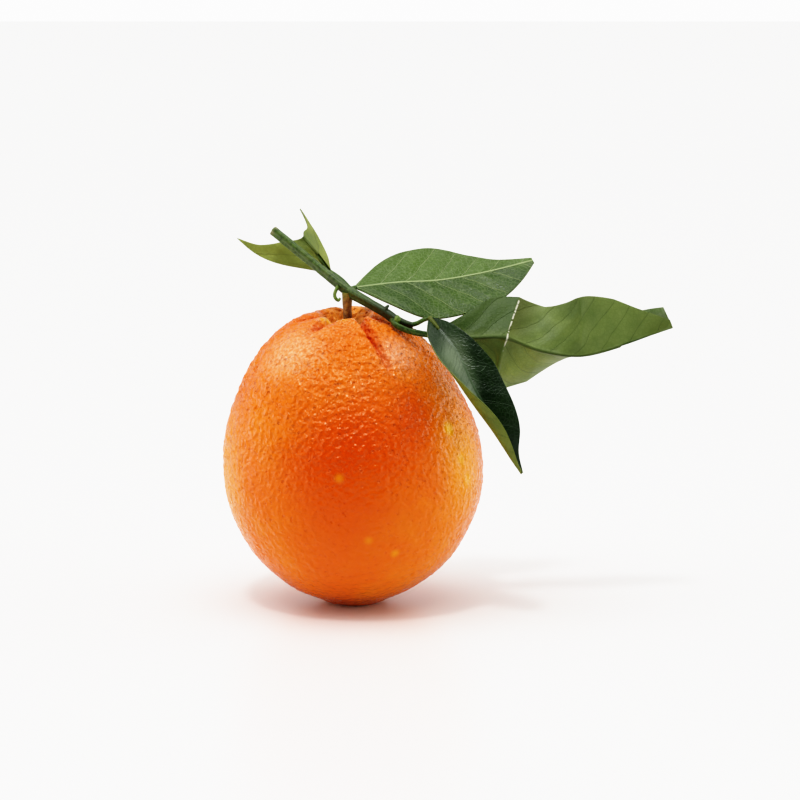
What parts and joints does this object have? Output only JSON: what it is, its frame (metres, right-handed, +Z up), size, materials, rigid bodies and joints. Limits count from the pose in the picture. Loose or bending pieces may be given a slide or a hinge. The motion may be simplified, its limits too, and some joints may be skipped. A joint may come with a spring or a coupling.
{
  "type": "orange with stalk and leaves",
  "caption": "Whole orange as picked, standing on its flattened blossom end, with the stalk, a length of twig and its leaves still attached.",
  "frame": {"origin": "centre of the flat spot on the blossom end that the fruit rests on", "axes": "+Z up through the fruit towards its stalk; +X towards the side where the leaves hang out; -Y towards the side where the twig and leaves show best"},
  "size_m": [0.1304, 0.076, 0.1137],
  "materials": {
    "orange_peel": "satin",
    "calyx_wood": "matte",
    "stalk_bark": "matte",
    "twig_bark": "satin",
    "young_shoot": "satin",
    "petiole_green": "satin",
    "leaf_upper": "satin",
    "leaf_dark": "satin",
    "leaf_underside": "matte"
  },
  "bodies": {
    "root": {"fruit": "orange_peel", "calyx": "calyx_wood", "fruit_stalk": "stalk_bark", "twig": "twig_bark", "bract": "young_shoot", "twig_spur": "twig_bark", "leaf_bud": "young_shoot", "torn_leaf_petiole": "petiole_green", "torn_leaf_blade": "leaf_underside", "top_leaf_petiole": "petiole_green", "top_leaf_blade": "leaf_upper", "folded_leaf_petiole": "petiole_green", "folded_leaf_blade": "leaf_underside", "front_leaf_petiole": "petiole_green", "front_leaf_blade": "leaf_dark"}
  },
  "joints": []
}
